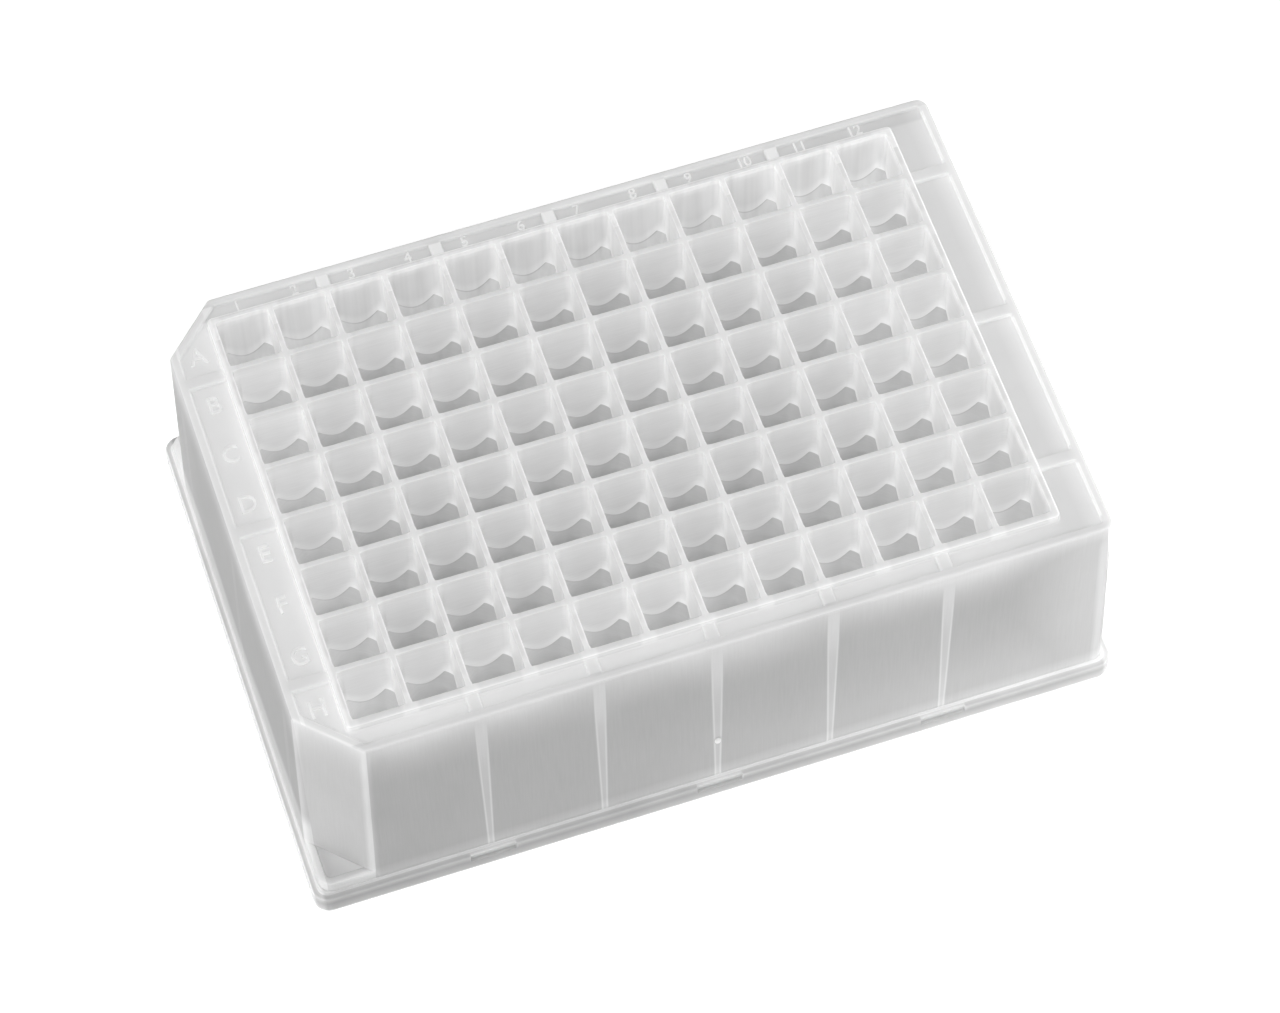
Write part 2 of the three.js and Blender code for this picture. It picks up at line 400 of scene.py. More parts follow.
def block_ring(grow, z, white=FLANK_WHITE, front_loss=0.0):
    """A loop of the block's outline, grown outward from its core rectangle.

    Its left side is whiter, its back a little less white, and its front less by front_loss.
    """
    places, whites = [], []
    for (x, y), heading in block_run:
        core_x = x * (block_x - BLOCK_RADIUS) / half_length
        core_y = y * (block_y - BLOCK_RADIUS) / half_width
        turn = math.radians(heading)
        places.append((core_x + grow * math.cos(turn), core_y + grow * math.sin(turn), z))
        leftward, backward = -math.cos(turn), math.sin(turn)
        side_gain = 1 + 0.25 * max(0.0, leftward)
        loss = front_loss * max(0.0, -backward) + 0.08 * max(0.0, backward)
        whites.append(white * side_gain - loss)
    return block.loop(places, whites)


block_rings = [block.loop([(x, y, PLATE_HEIGHT) for (x, y), _ in block_run], TOP_WHITE)]
top_edge = arc((BLOCK_RADIUS - BLOCK_EDGE, -BLOCK_EDGE), BLOCK_EDGE, 90, 0, 4)
# The rounded top edge is whiter in its middle, a painted highlight, and less so on the front by
# front_loss.
top_edge_highlights = ((TOP_WHITE, 0.0), (1.1, 0.22), (1.2, 0.22), (1.0, 0.22), (FLANK_WHITE, 0.0))
for (out, drop), (white, front_loss) in zip(top_edge, top_edge_highlights):
    block_rings.append(block_ring(out, PLATE_HEIGHT + drop, white, front_loss))
block_rings += [block_ring(BLOCK_RADIUS, z) for z in (43.0, 42.0, BLOCK_FOOT + 0.3)]
block_rings.append(block_ring(BLOCK_RADIUS - 0.3, BLOCK_FOOT))
block_rings.append(block.loop([(x, y, BLOCK_FOOT) for (x, y), _ in block_run]))
for high, low in zip(block_rings, block_rings[1:]):
    block.band(low, high)

# The underside: a coned tip below each well, and a diamond pocket between each four wells.
TIP_POINT_Z = 1.66
tip_profile = [(4.4, 4.92), (3.0, 3.8), (1.2, 2.36), (0.8, 2.02), (0.4, 1.76), (0.15, 1.68)]


def cell_outline(cored):
    """The outline of one cell's underside, five points a quarter, cut by the pockets it touches."""
    half_cell = PITCH / 2
    start = half_cell - CORE_HALF
    points = []
    for quarter, cut in enumerate(cored):
        middle = half_cell - CORE_HALF / 2 if cut else half_cell
        run = [(half_cell, start * share) for share in (-1, -1 / 3, 1 / 3, 1)] + [(middle, middle)]
        turned = math.radians(90 * quarter)
        c, s = round(math.cos(turned)), round(math.sin(turned))
        points += [(x * c - y * s, x * s + y * c) for x, y in run]
    return points


def sew_underside(column, row):
    """One cell's tip, with its share of the pockets at its four corners."""
    x, y = WELL_X[column], WELL_Y[row]
    right, left = column < COLUMNS - 1, column > 0
    back, front = row > 0, row < ROWS - 1
    cored = [right and back, left and back, left and front, right and front]
    outline = cell_outline(cored)
    above = block.loop([(x + px, y + py, BLOCK_FOOT) for px, py in outline], UNDER_WHITE)
    shrink = (CORE_HALF - CORE_DRAFT) / CORE_HALF
    for quarter, cut in enumerate(cored):
        if not cut:
            continue
        mouth = [above[(quarter * 5 + k) % len(outline)] for k in (3, 4, 5)]
        sx, sy = ((1, 1), (-1, 1), (-1, -1), (1, -1))[quarter]
        mx, my = x + sx * PITCH / 2, y + sy * PITCH / 2
        roof = []
        for px, py, _ in (block.points[k] for k in mouth):
            roof.append((mx + (px - mx) * shrink, my + (py - my) * shrink, CORE_TOP))
        roof = block.loop(roof, POCKET_WHITE)
        block.band(mouth, roof, closed=False)
        centre = block.loop([(mx, my, CORE_TOP)], POCKET_WHITE)[0]
        block.faces += [(roof[0], roof[1], centre), (roof[1], roof[2], centre)]
    for radius, z in tip_profile:
        turns = [math.atan2(py, px) for px, py in outline]
        ring = [(x + radius * math.cos(t), y + radius * math.sin(t), z) for t in turns]
        ring = block.loop(ring, UNDER_WHITE)
        block.band(ring, above)
        above = ring
    block.fan(above[::-1], block.loop([(x, y, TIP_POINT_Z)], UNDER_WHITE)[0])


for column in range(COLUMNS):
    for row in range(ROWS):
        sew_underside(column, row)


# Sizes in mm, across and along z, of the core pins' turning rings and of row A's painted streaks
# of light and shade. The real turning rings are finer than these, which are drawn as coarse as
# they need to be to show.
TURNING_RINGS = (4.0, 4.0, 0.25)
ROW_A_LIGHT_STREAKS = (2.22, 2.22, 50.0)


def well_shade(tree, place):
    """Painted light and shade in the thin well walls: dark bores, a painted highlight line above
    them, and painted highlights in the corners.

    Each well's own x, y and height above its shoulder set where the bands lie.
    """
    half_cell = PITCH / 2
    moved = add(
        tree,
        "ShaderNodeVectorMath",
        {"operation": "SUBTRACT"},
        {0: place, 1: (half_cell, half_cell, 0)},
    ).outputs[0]
    cell = add(
        tree,
        "ShaderNodeVectorMath",
        {"operation": "WRAP"},
        {0: moved, 1: (half_cell, half_cell, 100), 2: (-half_cell, -half_cell, -100)},
    ).outputs[0]
    axis = add(tree, "ShaderNodeSeparateXYZ", None, {"Vector": cell}).outputs
    x, y, z = axis["X"], axis["Y"], axis["Z"]
    far_x = add(tree, "ShaderNodeMath", {"operation": "ABSOLUTE"}, {0: x}).outputs[0]
    far_y = add(tree, "ShaderNodeMath", {"operation": "ABSOLUTE"}, {0: y}).outputs[0]
    flat = add(tree, "ShaderNodeVectorMath", {"operation": "MULTIPLY"}, {0: cell, 1: (1, 1, 0)})
    radius = add(
        tree,
        "ShaderNodeVectorMath",
        {"operation": "LENGTH"},
        {0: flat.outputs[0]},
    ).outputs["Value"]
    shoulder = SHOULDER_Z - SHOULDER_RISE * BORE_RADIUS
    raised = add(tree, "ShaderNodeMath", {"operation": "SUBTRACT"}, {0: z, 1: shoulder})
    above = add(
        tree,
        "ShaderNodeMath",
        {"operation": "MULTIPLY_ADD"},
        {0: radius, 1: -SHOULDER_RISE, 2: raised.outputs[0]},
    ).outputs[0]
    plate_y = add(tree, "ShaderNodeSeparateXYZ", None, {"Vector": place}).outputs["Y"]
    row_a = add(
        tree,
        "ShaderNodeMath",
        {"operation": "GREATER_THAN"},
        {0: plate_y, 1: WELL_Y[0] + 1.0},
    ).outputs[0]

    # The bore is painted dark below the shoulder's edge, for less light there; above it come a painted
    # highlight line, a painted glow near the top, and painted highlights on the corner steps, up the
    # corners and on row A's back edge. Each bore is painted darker towards its +x side.
    in_bore = [(above, 0.2, 0.35, 1.0, 0.0), (z, CORNER_STEP_Z - 0.1, CORNER_STEP_Z + 0.1, 1.0, 0.0)]
    crease_highlight = [(above, 0.5, 2.8, 0.13, 0.0)]
    top_glow = [(z, 40.5, 43.9, 0.0, 0.06)]
    step_highlight = [(z, CORNER_STEP_Z + 0.4, CORNER_STEP_Z + 1.6, 0.04, 0.0), (radius, 4.55, 4.95, 0.0, 1.0)]
    corner_highlight = [(z, 34.0, 43.5, 0.03, 0.11), (far_x, 2.9, 3.7, 0.0, 1.0), (far_y, 1.5, 2.8, 0.0, 1.0)]
    row_a_edge_highlight = [(z, 42.9, 43.5, 0.0, 0.14), (row_a, 0.0, 1.0, 0.0, 1.0)]
    wall_tone = toned(tree, 1.0, crease_highlight, top_glow, step_highlight, corner_highlight, row_a_edge_highlight, **SOFT)
    bore_tone = toned(tree, 0.0, [(x, -3.2, 2.9, 0.93, 0.72)], **SOFT)
    tone = add(
        tree,
        "ShaderNodeMix",
        {"data_type": "FLOAT"},
        {0: toned(tree, 0.0, in_bore, **SOFT), 2: wall_tone, 3: bore_tone},
    ).outputs[0]

    # The turned core pins leave fine level rings, and row A's back wall gets painted upright streaks
    # of light and shade, for the webs and gaps behind its thin outer wall.
    marks = []
    for spread, low, high in ((TURNING_RINGS, 0.97, 1.02), (ROW_A_LIGHT_STREAKS, 0.92, 1.06)):
        stretched = add(
            tree,
            "ShaderNodeMapping",
            None,
            {"Vector": place, "Scale": [1 / mm for mm in spread]},
        ).outputs[0]
        streaks = add(
            tree,
            "ShaderNodeTexNoise",
            None,
            {"Vector": stretched, "Scale": 1.0, "Detail": 2.0, "Roughness": 0.7},
        ).outputs["Fac"]
        marks.append(toned(tree, 0.0, [(streaks, 0.3, 0.7, low, high)]))
    marked = add(
        tree,
        "ShaderNodeMix",
        {"data_type": "FLOAT"},
        {0: row_a, 2: marks[0], 3: marks[1]},
    ).outputs[0]
    return add(tree, "ShaderNodeMath", {"operation": "MULTIPLY"}, {0: tone, 1: marked}).outputs[0]


cored_plastic = natural_polypropylene("natural polypropylene, cored block", well_shade, passes=0.97)
well_block = block.piece("well_block", cored_plastic)
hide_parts("well_plate")
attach(well_block, "root")


# ---- Deck and skirt -----------------------------------------------------------------------
# Round the block runs a sunk deck with a raised rim, and the rim turns down into the skirt.
# It is the same polypropylene shot, 1.2 to 1.4 mm thick and open below, drafted for release,
# and its outside comes off a coarser mould face than the wells do, so its gloss is wider.
SKIRT_X, SKIRT_Y = 62.85, 41.71  # half sizes at the surface that the plate stands on
SKIRT_LEAN = 1.1 / 43.15
SKIRT_WALL = 1.4
SKIRT_RADIUS = 1.8
CHAMFER = 8.3
RIM_Z = 43.15
RIM_WIDTH = 1.4
RIM_EDGE = 0.5
RIM_INNER_EDGE = 0.3  # rounding of the rim towards the deck
DECK_Z = 42.4
DECK_UNDER = 41.2
FOOT_FILLET = 0.35  # rounding where the deck meets the block
BLOCK_OVERLAP = 0.35  # how far the deck's edge runs on inside the block
FLANGE_ROOF = 2.6
LIP_Z = 6.4
BEND_GAIN = 0.18  # how much whiter the skirt's upright bends are than its flats: a painted highlight
FACE_BAND = 1.3  # with their lean, the outer faces lie this far or less inside the half sizes


def rounded(corners, steps=5, edge=0.7):
    """Points round a convex outline given as (x, y, radius), each with 1 on a bend or 0 on a flat.

    Each flat also gets a point `edge` away from each bend, and a radius of None is a plain point.
    """
    run = []
    for i, (x, y, radius) in enumerate(corners):
        if radius is None:
            run.append((x, y, 0.0))
            continue
        here = Vector((x, y))
        back = (Vector(corners[i - 1][:2]) - here).normalized()
        on = (Vector(corners[(i + 1) % len(corners)][:2]) - here).normalized()
        half = back.angle(on) / 2
        setback = radius / math.tan(half)
        centre = here + (back + on).normalized() * radius / math.sin(half)
        first = here + back * setback - centre
        turn = math.pi - 2 * half
        start = math.atan2(first.y, first.x)
        run.append((*(here + back * (setback + edge)), 0.0))
        for k in range(steps + 1):
            angle = start + turn * k / steps
            bent_x = centre.x + radius * math.cos(angle)
            bent_y = centre.y + radius * math.sin(angle)
            run.append((bent_x, bent_y, 1.0))
        run.append((*(here + on * (setback + edge)), 0.0))
    return run


def plate_outline(half_x, half_y, radius, chamfer, bend, edge=0.7):
    """A rectangle, anticlockwise, with round corners at +X and chamfered ones at -X."""
    return rounded(
        [
            (half_x, -half_y, radius),
            (half_x, half_y, radius),
            (chamfer - half_x, half_y, bend),
            (-half_x, half_y - chamfer, bend),
            (-half_x, chamfer - half_y, bend),
            (chamfer - half_x, -half_y, bend),
        ],
        edge=edge,
    )


def skirt_outline(inset, z):
    """The skirt's outline at one height, moved in from its outer face."""
    inward = inset + SKIRT_LEAN * z
    return plate_outline(
        SKIRT_X - inward,
        SKIRT_Y - inward,
        max(SKIRT_RADIUS - inset, 0.3),
        CHAMFER - (2 - math.sqrt(2)) * inset,
        max(1.0 - 0.5 * inset, 0.3),
    )


def block_outline(gap):
    """The well block's outline, moved out by the gap."""
    radius = BLOCK_RADIUS + gap
    return plate_outline(block_x + gap, block_y + gap, radius, (2 - math.sqrt(2)) * radius, radius, 0.0)


shell = Skin()


def lay(run, z, bend_gain=0.0, open_corner_z=None):
    """A loop at one height; bends may be whiter, and the open corners may start higher up."""
    places, whites = [], []
    for x, y, bend in run:
        in_corner = x < CHAMFER - SKIRT_X + 0.7 and abs(y) > SKIRT_Y - CHAMFER - 0.7
        places.append((x, y, open_corner_z if open_corner_z and in_corner else z))
        whites.append(1.0 + bend_gain * bend)
    return shell.loop(places, whites)


shell_rings = [lay(skirt_outline(0, LIP_Z), FLANGE_ROOF, BEND_GAIN, LIP_Z)]
shell_rings += [lay(skirt_outline(0, z), z, BEND_GAIN) for z in (12.0, 38.0)]
for dx, dz in arc((0, -RIM_EDGE), RIM_EDGE, 180, 90, 5):
    shell_rings.append(lay(skirt_outline(RIM_EDGE + dx, RIM_Z + dz), RIM_Z + dz))
for dx, dz in arc((-RIM_INNER_EDGE, -RIM_INNER_EDGE), RIM_INNER_EDGE, 90, 0, 4):
    shell_rings.append(lay(skirt_outline(RIM_WIDTH + dx, RIM_Z + dz), RIM_Z + dz))
for dx, dz in arc((RIM_INNER_EDGE, RIM_INNER_EDGE), RIM_INNER_EDGE, 180, 270, 4):
    shell_rings.append(lay(skirt_outline(RIM_WIDTH + dx, DECK_Z + dz), DECK_Z + dz))
for dx, dz in arc((FOOT_FILLET, FOOT_FILLET), FOOT_FILLET, 270, 180, 4):
    shell_rings.append(lay(block_outline(dx), DECK_Z + dz))
shell_rings.append(lay(block_outline(-BLOCK_OVERLAP), DECK_Z + FOOT_FILLET))
shell_rings.append(lay(block_outline(-BLOCK_OVERLAP), DECK_UNDER - 0.1))
shell_rings.append(lay(block_outline(0.3), DECK_UNDER))
for inset, z in ((2.0, DECK_UNDER), (SKIRT_WALL, DECK_UNDER - 0.6), (SKIRT_WALL, 20.0)):
    shell_rings.append(lay(skirt_outline(inset, z), z))
shell_rings.append(lay(skirt_outline(SKIRT_WALL, LIP_Z), FLANGE_ROOF, 0.0, LIP_Z))
for low, high in zip(shell_rings, shell_rings[1:] + shell_rings[:1]):
    shell.band(low, high)

# The webs that tie the block to the skirt, each flush with the rim where it crosses the deck.
WEB_TOP, WEB_FOOT, WEB_FOOT_Z = 2.0, 1.0, 6.4
COLUMN_SPACING, ROW_SPACING = 2 * PITCH, 3 * PITCH
COLUMN_WEBS = [(i - 2) * COLUMN_SPACING for i in range(5)]
ROW_WEBS = [(1 - i) * ROW_SPACING for i in range(3)]
web_half = [(WEB_FOOT / 2 - 0.2, WEB_FOOT_Z), (WEB_FOOT / 2, WEB_FOOT_Z + 0.2), (WEB_TOP / 2, DECK_UNDER)]
web_half += arc((WEB_TOP / 2 + 0.3, DECK_Z + 0.28), 0.3, 250, 180, 4)
web_half += arc((WEB_TOP / 2 - 0.25, RIM_Z - 0.26), 0.25, 0, 90, 4)
web_section = web_half + [(-w, z) for w, z in reversed(web_half)]


def sew_web(middle, near, far, across):
    """One closed web, drawn from the block (near) out into the rim (far)."""
    ends = []
    for along in (near, far):
        if across:
            ends.append(shell.loop([(middle + w, along, z) for w, z in web_section]))
        else:
            ends.append(shell.loop([(along, middle + w, z) for w, z in web_section]))
    if across == (far > near):
        ends.reverse()
    shell.band(ends[0], ends[1])
    shell.faces += [tuple(ends[0][::-1]), tuple(ends[1])]


for side in (-1, 1):
    for x in COLUMN_WEBS:
        sew_web(x, side * (block_y - 0.3), side * (SKIRT_Y - 2.0), True)
    for y in ROW_WEBS:
        sew_web(y, side * (block_x - 0.3), side * (SKIRT_X - 2.0), False)

# At the two chamfered corners the foot keeps its square corner, as a low lip round a hole.
LIP_RADIUS = 2.2
LIP_OVERLAP = 0.8  # how far each end of the lip runs on into the skirt
lip_section = [
    (0.03, FLANGE_ROOF),
    (0.03, LIP_Z - 0.35),
    (0.15, LIP_Z - 0.08),
    (0.4, LIP_Z),
    (SKIRT_WALL - 0.4, LIP_Z),
    (SKIRT_WALL - 0.12, LIP_Z - 0.08),
    (SKIRT_WALL, LIP_Z - 0.35),
    (SKIRT_WALL, FLANGE_ROOF),
]
for side in (-1, 1):
    loops = []
    for inset, z in lip_section:
        inward = inset + SKIRT_LEAN * LIP_Z
        half_x, half_y = SKIRT_X - inward, SKIRT_Y - inward
        radius = max(LIP_RADIUS - inset, 0.5)
        run = [(CHAMFER + LIP_OVERLAP - half_x, half_y)]
        run += arc((radius - half_x, half_y - radius), radius, 90, 180, 6)
        run.append((-half_x, half_y - CHAMFER - LIP_OVERLAP))
        places = [(x, y * side, z) for x, y in run]
        loops.append(shell.loop(places if side > 0 else places[::-1]))
    for low, high in zip(loops, loops[1:] + loops[:1]):
        shell.band(low, high, closed=False)
    shell.faces.append(tuple(loop[0] for loop in loops))
    shell.faces.append(tuple(loop[-1] for loop in reversed(loops)))

# The gate, where the shot came in, leaves a small dome on the front's middle web. Its base ring
# is as white as the skirt that it lies on, and the rest whiter.
GATE_Z = 15.0
GATE_HALF_WIDTH, GATE_HALF_HEIGHT = 0.55, 0.95
gate_turns = [2 * math.pi * k / 16 for k in range(16)]
gate_rings = []
for share, out, white in ((1.0, 0.0, 1.0), (0.85, 0.2, 1.7), (0.45, 0.34, 1.7)):
    y = -(SKIRT_Y - SKIRT_LEAN * GATE_Z + out)
    dome = []
    for t in gate_turns:
        across, upward = GATE_HALF_WIDTH * share, GATE_HALF_HEIGHT * share
        dome.append((across * math.cos(t), y, GATE_Z + upward * math.sin(t)))
    gate_rings.append(shell.loop(dome, white))
for low, high in zip(gate_rings, gate_rings[1:]):
    shell.band(low, high)
shell.faces += [tuple(gate_rings[-1]), tuple(gate_rings[0][::-1])]


LIGHT_EDGE = 22.2  # mm between the waves of the line where light from the rim fades
DRAG_LINES = (0.2, 0.2, 12.5)  # mm; real ones are finer, and are drawn this wide so that they show


def web_tone(tree, x, y, z, on_long, on_short):
    """Where a web stands behind the skirt, the wall is painted a pale band with a darker core low
    down: painted light and shade for the web seen through the thin wall.
    """
    half_web = toned(tree, 0.0, [(z, WEB_FOOT_Z, 42.0, WEB_FOOT / 2, WEB_TOP / 2)])
    web_bands = []
    for along, spacing, face, last, gain in (
        (x, COLUMN_SPACING, on_long, 45.0, 0.25),
        (y, ROW_SPACING, on_short, 36.0, 0.0625),
    ):
        far = add(tree, "ShaderNodeMath", {"operation": "ABSOLUTE"}, {0: along}).outputs[0]
        webbed = add(tree, "ShaderNodeMath", {"operation": "LESS_THAN"}, {0: far, 1: last}).outputs[0]
        off = add(tree, "ShaderNodeMath", {"operation": "PINGPONG"}, {0: along, 1: spacing / 2})
        past = add(
            tree,
            "ShaderNodeMath",
            {"operation": "SUBTRACT"},
            {0: off.outputs[0], 1: half_web},
        ).outputs[0]
        pale = [(past, -0.12, 0.16, gain, 0.0)]
        core = [(past, -0.36, -0.16, -0.55 * gain, 0.0), (z, 22.0, 40.0, 1.0, 0.0)]
        band = toned(tree, 0.0, pale, core, **SOFT)
        for mask in (face, webbed):
            band = add(tree, "ShaderNodeMath", {"operation": "MULTIPLY"}, {0: band, 1: mask}).outputs[0]
        web_bands.append(band)
    return add(
        tree,
        "ShaderNodeMath",
        {"operation": "MAXIMUM"},
        {0: web_bands[0], 1: web_bands[1]},
    ).outputs[0]


def deck_tone(tree, x, y, z, far_x, far_y, cloud):
    """The deck's floor darkens towards the right, and the rim is darker along its long sides.

    On the rim the inner edge of each short side is a painted highlight line, broken at the webs,
    and that of each long side a faint painted shadow line. Behind row A the sunk floor is darker
    and the webs whiter, and the rim there and the rim and floor at the right end are a little lighter.
    """
    plain_top = add(
        tree,
        "ShaderNodeMix",
        {"data_type": "FLOAT"},
        {
            0: toned(tree, 0.0, [(z, DECK_Z, RIM_Z, 0.0, 1.0)], **SOFT),
            2: toned(tree, 0.0, [(x, -60.0, 60.0, 0.965, 0.88)]),
            3: toned(tree, 0.0, [(far_y, 39.0, 40.0, 0.93, 0.83)]),
        },
    ).outputs[0]
    rim_x = SKIRT_X - SKIRT_LEAN * RIM_Z - RIM_WIDTH
    rim_y = SKIRT_Y - SKIRT_LEAN * RIM_Z - RIM_WIDTH
    off_web_x = add(tree, "ShaderNodeMath", {"operation": "PINGPONG"}, {0: x, 1: COLUMN_SPACING / 2})
    off_web_y = add(tree, "ShaderNodeMath", {"operation": "PINGPONG"}, {0: y, 1: ROW_SPACING / 2})
    raised = (z, DECK_Z + 0.1, DECK_Z + 0.3, 0.0, 1.0)
    sunk = (z, DECK_Z + 0.2, DECK_Z + 0.5, 1.0, 0.0)
    # A painted highlight on the short sides' inner rim edge, and a painted shadow on the long sides'.
    short_edge_highlight = [
        (x, 0.0, 1.0, 0.1, 0.4),
        (far_x, rim_x - 0.35, rim_x - 0.2, 0.0, 1.0),
        (far_x, rim_x + 0.2, rim_x + 0.35, 1.0, 0.0),
        (off_web_y.outputs[0], 1.4, 2.0, 0.0, 1.0),
        (far_y, 37.8, 38.3, 1.0, 0.0),
        raised,
    ]
    long_edge_shadow = [
        (cloud, 0.42, 0.5, -0.09, 0.0),
        (far_y, rim_y - 0.2, rim_y, 0.0, 1.0),
        (far_y, rim_y + 0.3, rim_y + 0.6, 1.0, 0.0),
        raised,
    ]
    back_webs = [
        (off_web_x.outputs[0], 0.7, 1.0, 0.1, 0.0),
        (y, 36.9, 37.1, 0.0, 1.0),
        (y, 39.0, 39.2, 1.0, 0.0),
        raised,
    ]
    behind_row_a = [(y, 36.9, 37.4, 0.0, -0.1), sunk]
    right_rim = [(x, 59.5, 60.8, 0.0, 0.07), raised]
    back_rim = [(y, 39.0, 39.5, 0.0, 0.09), raised]
    back_floor = [(y, 37.4, 39.3, 0.0, 0.06), sunk]
    right_floor = [(x, 57.5, 60.2, 0.0, 0.12), sunk]
    lined_top = toned(tree, plain_top, short_edge_highlight, long_edge_shadow, behind_row_a, back_webs)
    return toned(tree, lined_top, right_rim, back_rim, back_floor, right_floor)


def skirt_shade(tree, place):
    """What shows in the skirt's thin wall and on the deck, by the place on the shell: mostly
    painted light and shade, and drag lines.
    """
    axis = add(tree, "ShaderNodeSeparateXYZ", None, {"Vector": place}).outputs
    x, y, z = axis["X"], axis["Y"], axis["Z"]
    far_x = add(tree, "ShaderNodeMath", {"operation": "ABSOLUTE"}, {0: x}).outputs[0]
    far_y = add(tree, "ShaderNodeMath", {"operation": "ABSOLUTE"}, {0: y}).outputs[0]
    level_slant = add(tree, "ShaderNodeMath", {"operation": "SUBTRACT"}, {0: far_y, 1: x})
    slant = add(
        tree,
        "ShaderNodeMath",
        {"operation": "MULTIPLY_ADD"},
        {0: z, 1: 2 * SKIRT_LEAN, 2: level_slant.outputs[0]},
    ).outputs[0]
    on_long, on_short, on_cut, below_rim = [
        add(tree, "ShaderNodeMath", {"operation": test}, {0: value, 1: limit}).outputs[0]
        for value, test, limit in (
            (far_y, "GREATER_THAN", SKIRT_Y - FACE_BAND),
            (far_x, "GREATER_THAN", SKIRT_X - FACE_BAND),
            (slant, "GREATER_THAN", SKIRT_X + SKIRT_Y - CHAMFER - 0.35),
            (z, "LESS_THAN", RIM_Z - 0.2),
        )
    ]

    # Light that enters at the rim runs down inside the wall and fades in a wavy line.
    cloud = add(
        tree,
        "ShaderNodeTexNoise",
        None,
        {"Vector": place, "Scale": 1 / LIGHT_EDGE, "Detail": 1.0},
    ).outputs["Fac"]
    wavy_z = toned(tree, z, [(cloud, 0.3, 0.7, -1.6, 1.6)])
    near_rim = toned(tree, 0.0, [(wavy_z, 31.0, 43.0, 0.0, 1.0)])
    faded = add(tree, "ShaderNodeMath", {"operation": "POWER"}, {0: near_rim, 1: 2.2}).outputs[0]
    glow = add(tree, "ShaderNodeMath", {"operation": "MULTIPLY"}, {0: faded, 1: 0.3}).outputs[0]
    # Towards the right end the long faces are painted lighter, for light coming in round the corners.
    right_end_light = [(x, 44.0, 60.0, 0.0, 0.17), (on_long, 0.0, 1.0, 0.0, 1.0)]
    at_end = toned(tree, 0.0, right_end_light, **SOFT)
    webs = web_tone(tree, x, y, z, on_long, on_short)
    shown = glow
    for other in (webs, at_end):
        shown = add(tree, "ShaderNodeMath", {"operation": "MAXIMUM"}, {0: shown, 1: other}).outputs[0]

    # More comes up from the table at the open foot, and in at the two square corners.
    long_foot = [(wavy_z, 4.0, 30.0, 0.14, 0.0), (x, -30.0, 45.0, 0.15, 1.0)]
    short_foot = [(wavy_z, 9.0, 14.0, 0.26, 0.0)]
    foot = add(
        tree,
        "ShaderNodeMix",
        {"data_type": "FLOAT"},
        {
            0: on_short,
            2: toned(tree, 0.0, long_foot, **SOFT),
            3: toned(tree, 0.0, short_foot, **SOFT),
        },
    ).outputs[0]
    foot = add(tree, "ShaderNodeMath", {"operation": "SUBTRACT"}, {0: foot, 1: at_end}).outputs[0]
    foot = add(tree, "ShaderNodeMath", {"operation": "MAXIMUM"}, {0: foot, 1: 0.0}).outputs[0]

    # The skirt drags on the mould as it is pushed out, which leaves fine upright lines.
    stretched = add(
        tree,
        "ShaderNodeMapping",
        None,
        {"Vector": place, "Scale": [1 / mm for mm in DRAG_LINES]},
    ).outputs[0]
    drawn = add(
        tree,
        "ShaderNodeTexNoise",
        None,
        {"Vector": stretched, "Scale": 1.0, "Detail": 3.0},
    ).outputs["Fac"]
    # Painted light and shade: the short ends darker, the chamfers lighter, and a lighter sill above the
    # foot where shade would fall; the wall also gets lighter towards the back.
    short_wall = [(on_short, 0.0, 1.0, 0.0, -0.065)]
    cut_wall = [(on_cut, 0.0, 1.0, 0.0, 0.17)]
    sill = [(z, 4.5, 7.5, 0.16, 0.0)]
    to_back = [(y, 20.0, 40.0, 0.0, 0.14)]
    drag = [(drawn, 0.25, 0.75, -0.018, 0.018)]
    wall_tone = toned(tree, 0.49, short_wall, cut_wall, sill, to_back, drag)
    for more in (shown, foot):
        wall_tone = add(tree, "ShaderNodeMath", {"operation": "ADD"}, {0: wall_tone, 1: more}).outputs[0]
    on_wall = on_long
    for face in (on_short, on_cut):
        on_wall = add(tree, "ShaderNodeMath", {"operation": "MAXIMUM"}, {0: on_wall, 1: face}).outputs[0]
    on_wall = add(tree, "ShaderNodeMath", {"operation": "MULTIPLY"}, {0: on_wall, 1: below_rim}).outputs[0]

    on_top = deck_tone(tree, x, y, z, far_x, far_y, cloud)
    return add(
        tree,
        "ShaderNodeMix",
        {"data_type": "FLOAT"},
        {0: on_wall, 2: on_top, 3: wall_tone},
    ).outputs[0]


def joined(name, skin, material):
    """A piece whose overlapping solids are merged into one skin.

    The merge drops whiteness, so each vertex takes that of the nearest point that was sewn.
    """
    made = skin.piece(name, material)
    merge = made.modifiers.new("merge", "BOOLEAN")
    merge.operation = "UNION"
    merge.solver = "EXACT"
    merge.use_self = True
    merge.operand_type = "COLLECTION"
    made.modifiers.move(len(made.modifiers) - 1, 0)
    with bpy.context.temp_override(object=made):
        bpy.ops.object.modifier_apply(modifier="merge")
    sewn = KDTree(len(skin.points))
    for i, point in enumerate(skin.points):
        sewn.insert(Vector(point) * MM, i)
    sewn.balance()
    whites = [skin.white[sewn.find(v.co)[1]] for v in made.data.vertices]
    made.data.attributes["whiteness"].data.foreach_set("value", whites)
    made.data.shade_smooth()
    made.data.set_sharp_from_angle(angle=SHARP_EDGE)
    return made


skirt_plastic = natural_polypropylene(
    "natural polypropylene, drafted skirt",
    skirt_shade,
    passes=0.93,
    roughness=0.5,
)
deck_and_skirt = joined("deck_and_skirt", shell, skirt_plastic)
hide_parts("well_plate")
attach(deck_and_skirt, "root")


